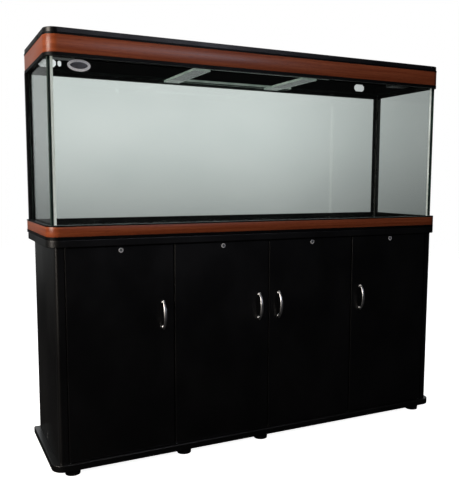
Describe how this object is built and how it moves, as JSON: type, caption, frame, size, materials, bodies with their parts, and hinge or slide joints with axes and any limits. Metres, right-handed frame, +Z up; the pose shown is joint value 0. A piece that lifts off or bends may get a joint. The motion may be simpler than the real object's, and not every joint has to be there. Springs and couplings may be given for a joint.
{
  "type": "aquarium on stand",
  "caption": "Glass aquarium under a lidded hood with wood-grain bands, standing on a black cabinet with hinged, lockable doors.",
  "frame": {"origin": "on the floor, under the middle of the tank and hood; the door handles stand out in front, so the bounding box's middle is 8 mm further forward", "axes": "+Z up, +X to the right along the length, -Y out of the doors"},
  "size_m": [1.542, 0.426, 1.387],
  "materials": {
    "black_board": "black melamine foil on board, satin",
    "foot_plastic": "matt moulded",
    "zinc_steel": "zinc plated",
    "cap_plastic": "satin moulded",
    "frame_plastic": "black extruded, semi-gloss",
    "lid_plastic": "black moulded, semi-gloss",
    "cherry_foil": "cherry wood-grain foil, gloss",
    "foam": "closed-cell foam",
    "tank_glass": "clear float glass, green edges",
    "clear_silicone": "translucent sealant",
    "black_silicone": "black sealant",
    "clear_plastic": "clear acrylic",
    "chrome": "polished",
    "badge_metal": "silver rim, black middle",
    "pad_rubber": "soft",
    "lamp_aluminium": "black anodised outside, bright inside",
    "lamp_tube": "white phosphor tube"
  },
  "bodies": {
    "root": {"back_glass": "tank_glass", "back_panel": "black_board", "badge": "badge_metal", "base_band": "cherry_foil", "base_plate": "black_board", "cross_braces": "tank_glass", "door_pivot_pins": "zinc_steel", "feet": "foot_plastic", "floor_glass": "tank_glass", "floor_seam": "black_silicone", "foot_screws": "zinc_steel", "front_brace": "tank_glass", "front_glass": "tank_glass", "front_seams": "clear_silicone", "front_stile_left": "black_board", "front_stile_right": "black_board", "hood_band": "cherry_foil", "hood_frame": "frame_plastic", "lamp_brackets": "lamp_aluminium", "lamp_cover": "clear_plastic", "lamp_holders": "cap_plastic", "lamp_housing": "lamp_aluminium", "lamp_tubes": "lamp_tube", "left_glass": "tank_glass", "lid_hinge_pins": "zinc_steel", "lid_pads": "pad_rubber", "lock_keepers": "zinc_steel", "partition_centre": "black_board", "partition_left": "black_board", "partition_right": "black_board", "rear_brace": "tank_glass", "rear_corner_posts": "frame_plastic", "rear_seams": "black_silicone", "right_glass": "tank_glass", "rim_clip": "clear_plastic", "side_caps": "cap_plastic", "side_panel_left": "black_board", "side_panel_right": "black_board", "tank_base_frame": "frame_plastic", "tank_mat": "foam", "top_board": "black_board"},
    "door_outer_left": {"door_outer_left": "black_board", "handle_outer_left": "chrome", "lock_barrel_outer_left": "chrome"},
    "lock_outer_left": {"lock_cam_outer_left": "zinc_steel"},
    "door_inner_left": {"door_inner_left": "black_board", "handle_inner_left": "chrome", "lock_barrel_inner_left": "chrome"},
    "lock_inner_left": {"lock_cam_inner_left": "zinc_steel"},
    "door_inner_right": {"door_inner_right": "black_board", "handle_inner_right": "chrome", "lock_barrel_inner_right": "chrome"},
    "lock_inner_right": {"lock_cam_inner_right": "zinc_steel"},
    "door_outer_right": {"door_outer_right": "black_board", "handle_outer_right": "chrome", "lock_barrel_outer_right": "chrome"},
    "lock_outer_right": {"lock_cam_outer_right": "zinc_steel"},
    "rear_lid": {"rear_lid": "lid_plastic", "flap_hinge_pin": "zinc_steel"},
    "front_flap": {"front_flap": "lid_plastic"}
  },
  "joints": [
    {"name": "door_outer_left_hinge", "type": "hinge", "parent": "root", "child": "door_outer_left", "pos_m": [-0.71575, -0.188, 0.3855], "axis": [0, 0, -1], "range_deg": [0, 100]},
    {"name": "lock_outer_left_turn", "type": "hinge", "parent": "door_outer_left", "child": "lock_outer_left", "pos_m": [-0.5415, -0.193, 0.7155], "axis": [0, -1, 0], "range_deg": [0, 90]},
    {"name": "door_inner_left_hinge", "type": "hinge", "parent": "root", "child": "door_inner_left", "pos_m": [-0.35475, -0.188, 0.3855], "axis": [0, 0, -1], "range_deg": [0, 100]},
    {"name": "lock_inner_left_turn", "type": "hinge", "parent": "door_inner_left", "child": "lock_inner_left", "pos_m": [-0.1805, -0.193, 0.7155], "axis": [0, -1, 0], "range_deg": [0, 90]},
    {"name": "door_inner_right_hinge", "type": "hinge", "parent": "root", "child": "door_inner_right", "pos_m": [0.35475, -0.188, 0.3855], "axis": [0, 0, 1], "range_deg": [0, 100]},
    {"name": "lock_inner_right_turn", "type": "hinge", "parent": "door_inner_right", "child": "lock_inner_right", "pos_m": [0.1805, -0.193, 0.7155], "axis": [0, -1, 0], "range_deg": [0, 90]},
    {"name": "door_outer_right_hinge", "type": "hinge", "parent": "root", "child": "door_outer_right", "pos_m": [0.71575, -0.188, 0.3855], "axis": [0, 0, 1], "range_deg": [0, 100]},
    {"name": "lock_outer_right_turn", "type": "hinge", "parent": "door_outer_right", "child": "lock_outer_right", "pos_m": [0.5415, -0.193, 0.7155], "axis": [0, -1, 0], "range_deg": [0, 90]},
    {"name": "rear_lid_hinge", "type": "hinge", "parent": "root", "child": "rear_lid", "pos_m": [0, 0.201, 1.373], "axis": [-1, 0, 0], "range_deg": [0, 95]},
    {"name": "front_flap_hinge", "type": "hinge", "parent": "rear_lid", "child": "front_flap", "pos_m": [0, -0.073, 1.383], "axis": [-1, 0, 0], "range_deg": [0, 105]}
  ]
}
